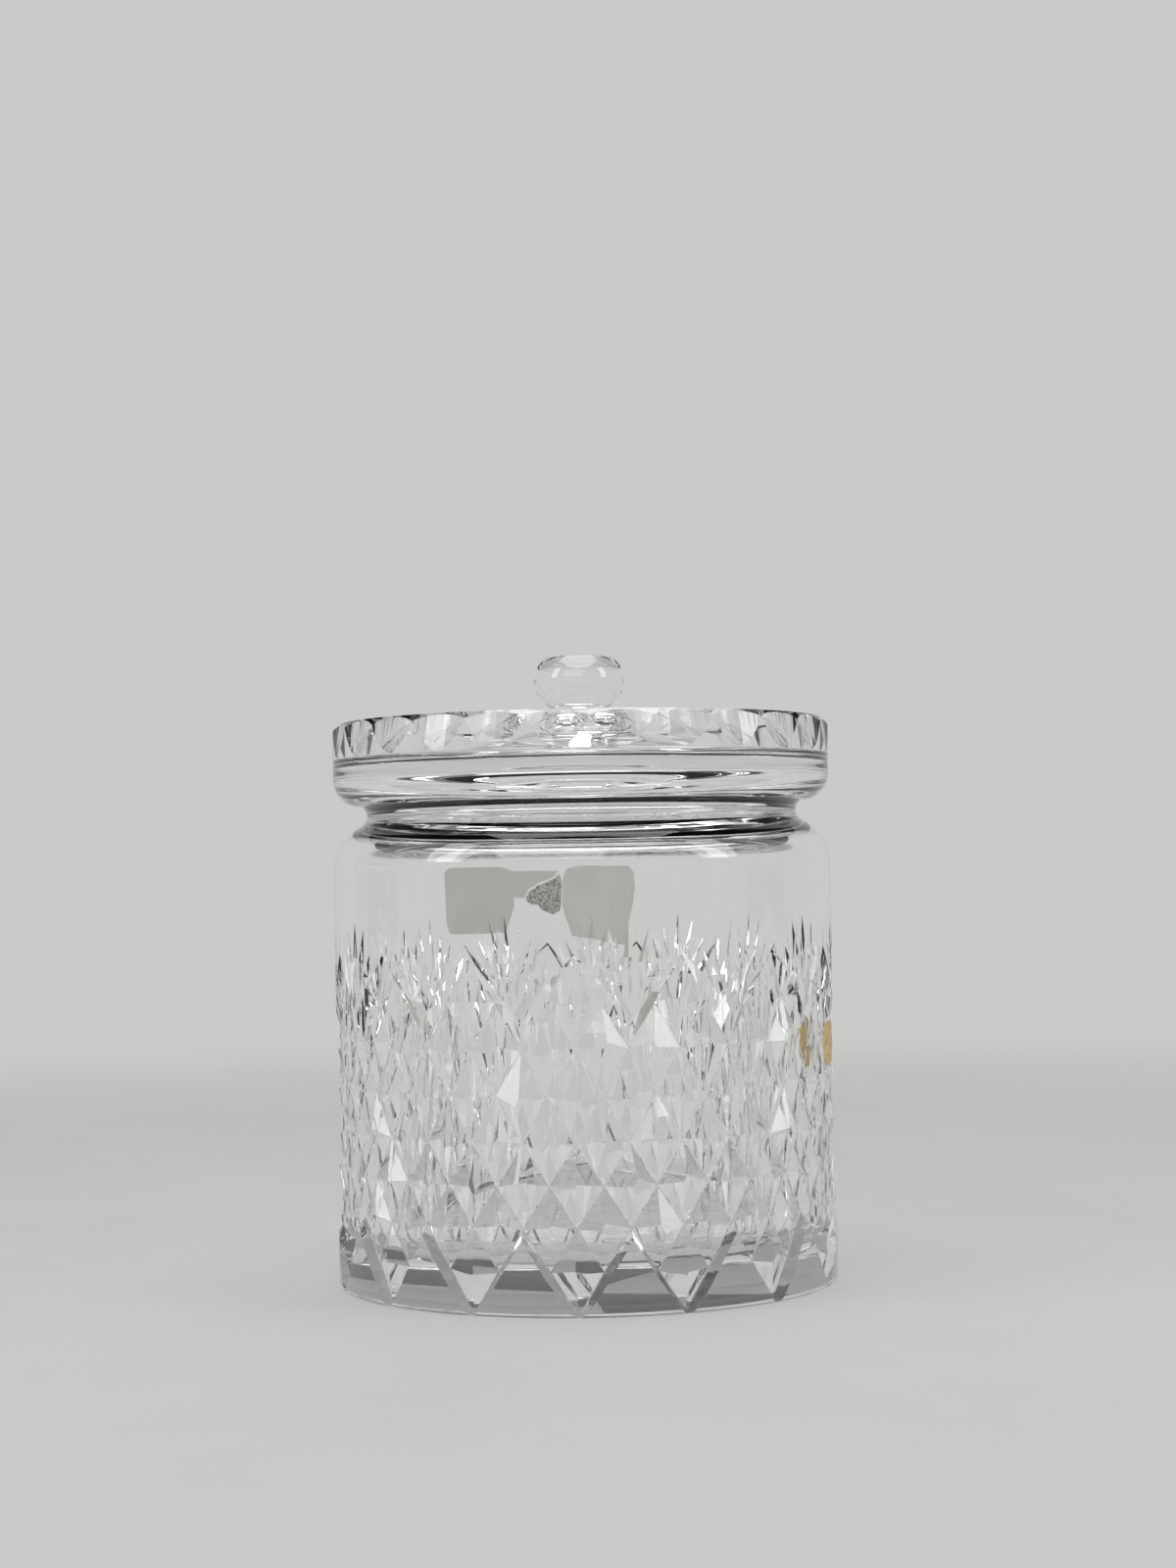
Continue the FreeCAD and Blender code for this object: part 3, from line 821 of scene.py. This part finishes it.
def residue_material():
    """Grey glue with crumbs of paper fibre."""
    material, nodes, links, shader, _ = node_tree("glue_and_paper_crumbs")
    crumbs = noise(nodes, links, 1400.0, 5.0)
    links.new(mixed_colours(nodes, links, crumbs, *GLUE, 0.38, 0.56), shader.inputs["Base Color"])
    bump(nodes, links, shader, crumbs, 0.0001)
    shader.inputs["Roughness"].default_value = 0.9
    return material


def foil_material():
    """Gold foil, rubbed at its creases."""
    material, nodes, links, shader, _ = node_tree("rubbed_gold_foil")
    wear = noise(nodes, links, 420.0, 4.0)
    links.new(mixed_colours(nodes, links, wear, *FOIL, 0.35, 0.65), shader.inputs["Base Color"])
    bump(nodes, links, shader, noise(nodes, links, 900.0, 3.0), 0.00004)
    shader.inputs["Metallic"].default_value = 0.85
    shader.inputs["Roughness"].default_value = 0.32
    return material


def make_labels():
    """Two scraps of the torn label, the glue between them and the foil seal."""
    paper = paper_material()
    add_piece("torn_label_left",
              torn_patch("torn_label_left", LABEL_LEFT, LABEL_ANGLE, LABEL_HEIGHT, LABEL_TEAR),
              "jar", "label_paper", paper, "label_scrap_left")
    add_piece("torn_label_right",
              torn_patch("torn_label_right", LABEL_RIGHT, LABEL_ANGLE, LABEL_HEIGHT, LABEL_TEAR),
              "jar", "label_paper", paper, "label_scrap_right")
    add_piece("label_glue_patch",
              torn_patch("label_glue_patch", RESIDUE, LABEL_ANGLE, LABEL_HEIGHT, GLUE_TEAR),
              "jar", "label_glue", residue_material(), "label_residue")
    add_piece("gold_foil_scrap",
              torn_patch("gold_foil_scrap", SEAL, SEAL_ANGLE, SEAL_HEIGHT, SEAL_TEAR),
              "jar", "seal_foil", foil_material(), "foil_seal")


make_labels()


# Floor and backdrop, in metres, with the far part as pale as the lit floor
FLOOR_TONES = ((0.575, 0.575, 0.57), (0.60, 0.60, 0.595))
FLOOR_RADIUS = 1.5
FLOOR_INNER = 0.3
BEND_RADIUS = 0.7
BEND_STEPS = 16
WALL_RISE = 0.5
STAGE_SIDES = 96
WALL_GLOW = (0.59, 0.59, 0.585, 1)
GLOW_START = 0.3
GLOW_FULL = 1.1


def maths(nodes, links, operation, *values):
    """Result of a sum on linked values."""
    node = nodes.new("ShaderNodeMath")
    node.operation = operation
    for index, value in enumerate(values):
        links.new(value, node.inputs[index])
    return node.outputs[0]


def ramp_between(nodes, links, value, start, end):
    """Smooth rise from 0 at start to 1 at end."""
    ramp = nodes.new("ShaderNodeMapRange")
    ramp.interpolation_type = "SMOOTHSTEP"
    ramp.inputs["From Min"].default_value = start
    ramp.inputs["From Max"].default_value = end
    links.new(value, ramp.inputs["Value"])
    return ramp.outputs["Result"]


def stage_material():
    """Pale matt paper with the faintest mottling, which the eye and the glass see evenly pale far off."""
    material, nodes, links, shader, output = node_tree("pale_paper_sweep")
    mottle = noise(nodes, links, 9.0, 5.0)
    links.new(mixed_colours(nodes, links, mottle, *FLOOR_TONES), shader.inputs["Base Color"])
    shader.inputs["Roughness"].default_value = 0.9
    glow = nodes.new("ShaderNodeEmission")
    glow.inputs["Color"].default_value = WALL_GLOW
    where = nodes.new("ShaderNodeTexCoord")
    parts = nodes.new("ShaderNodeSeparateXYZ")
    links.new(where.outputs["Object"], parts.inputs["Vector"])
    across = maths(nodes, links, "MULTIPLY", parts.outputs["X"], parts.outputs["X"])
    along = maths(nodes, links, "MULTIPLY", parts.outputs["Y"], parts.outputs["Y"])
    reach = maths(nodes, links, "SQRT", maths(nodes, links, "ADD", across, along))
    far = ramp_between(nodes, links, reach, GLOW_START, GLOW_FULL)
    light_path = nodes.new("ShaderNodeLightPath")
    glassy = maths(nodes, links, "MAXIMUM", light_path.outputs["Is Glossy Ray"],
                   light_path.outputs["Is Transmission Ray"])
    seen = maths(nodes, links, "MAXIMUM", light_path.outputs["Is Camera Ray"], glassy)
    mix = nodes.new("ShaderNodeMixShader")
    links.new(maths(nodes, links, "MULTIPLY", seen, far), mix.inputs["Fac"])
    links.new(shader.outputs["BSDF"], mix.inputs[1])
    links.new(glow.outputs["Emission"], mix.inputs[2])
    links.new(mix.outputs["Shader"], output.inputs["Surface"])
    return material


def make_stage():
    """Round pale floor that curves up into a wall all round the jar."""
    path = [(0.0, 0.0), (FLOOR_INNER, 0.0), (FLOOR_RADIUS, 0.0)]
    path += [(FLOOR_RADIUS + BEND_RADIUS * math.sin(a), BEND_RADIUS - BEND_RADIUS * math.cos(a))
             for a in (math.radians(90) * i / BEND_STEPS for i in range(1, BEND_STEPS + 1))]
    path += [(FLOOR_RADIUS + BEND_RADIUS, BEND_RADIUS + WALL_RISE)]
    mesh = bmesh.new()
    rings = []
    for radius, height in path:
        rings.append([mesh.verts.new((radius * math.cos(FULL_TURN * i / STAGE_SIDES),
                                      radius * math.sin(FULL_TURN * i / STAGE_SIDES), height))
                      for i in range(STAGE_SIDES)] if radius else [mesh.verts.new((0, 0, 0))] * STAGE_SIDES)
    for low, high in zip(rings, rings[1:]):
        for i in range(STAGE_SIDES):
            j = (i + 1) % STAGE_SIDES
            corners = [low[i], high[i], high[j], low[j]] if low[0] != low[1] else [low[i], high[i], high[j]]
            mesh.faces.new(corners)
    data = bpy.data.meshes.new("backdrop")
    mesh.to_mesh(data)
    mesh.free()
    for face in data.polygons:
        face.use_smooth = True
    stage = bpy.data.objects.new("backdrop", data)
    data.materials.append(stage_material())
    bpy.context.scene.collection.objects.link(stage)


# Softboxes: name, place and size in metres, and power in watts, at which the floor renders as written
SOFTBOXES = [
    ("top_softbox", (0.0, -0.1, 1.5), (1.4, 1.0), 12.9),
    ("left_softbox", (-1.25, -0.55, 0.75), (0.4, 1.0), 5.5),
    ("right_softbox", (1.25, -0.55, 0.75), (0.4, 1.0), 5.5),
    ("front_softbox", (-0.4, -1.5, 0.9), (1.5, 0.8), 6.5),
    ("back_softbox", (0.2, 1.4, 1.4), (1.2, 0.45), 6.5),
]
LAMP_TARGET = Vector((0, 0, 0.08))
WORLD_TONE = (0.046, 0.046, 0.048, 1)


def make_lights():
    """Softboxes all round and a dim grey world."""
    for name, place, size, power in SOFTBOXES:
        light = bpy.data.lights.new(name, "AREA")
        light.shape = "RECTANGLE"
        light.size, light.size_y = size
        light.energy = power
        lamp = bpy.data.objects.new(name, light)
        bpy.context.scene.collection.objects.link(lamp)
        lamp.location = place
        lamp.rotation_euler = (LAMP_TARGET - Vector(place)).to_track_quat("-Z", "Y").to_euler()
    world = bpy.data.worlds.new("studio")
    bpy.context.scene.world = world
    world.use_nodes = True
    world.node_tree.nodes["Background"].inputs["Color"].default_value = WORLD_TONE
    world.node_tree.nodes["Background"].inputs["Strength"].default_value = 1.0


# Camera, from the photograph's frame of 1200 by 1600 pixels
FRAME_HEIGHT = 1600
FOCAL_PIXELS = 2822.0
CAMERA_DISTANCE = 0.728
CAMERA_HEIGHT = 0.106
CAMERA_SIDE = 0.0019
PITCH_UP = 1.87
ROLL = -0.97
SENSOR = 36.0
NEAREST = 0.01


def make_camera():
    """Camera at the photograph's distance, height and tilt."""
    camera = bpy.data.cameras.new("camera")
    camera.sensor_width = SENSOR
    camera.lens = SENSOR * FOCAL_PIXELS / FRAME_HEIGHT
    camera.clip_start = NEAREST
    seat = bpy.data.objects.new("camera", camera)
    bpy.context.scene.collection.objects.link(seat)
    turn = Matrix.Rotation(math.radians(90 + PITCH_UP), 4, "X") @ Matrix.Rotation(math.radians(ROLL), 4, "Z")
    seat.matrix_world = Matrix.Translation((CAMERA_SIDE, -CAMERA_DISTANCE, CAMERA_HEIGHT)) @ turn
    bpy.context.scene.camera = seat


make_stage()
make_lights()
make_camera()

scene = bpy.context.scene
scene.view_settings.view_transform = "Standard"
scene.cycles.max_bounces = 24
scene.cycles.transmission_bounces = 20
scene.cycles.glossy_bounces = 8
scene.cycles.transparent_max_bounces = 24
scene.cycles.caustics_reflective = False
scene.cycles.caustics_refractive = False
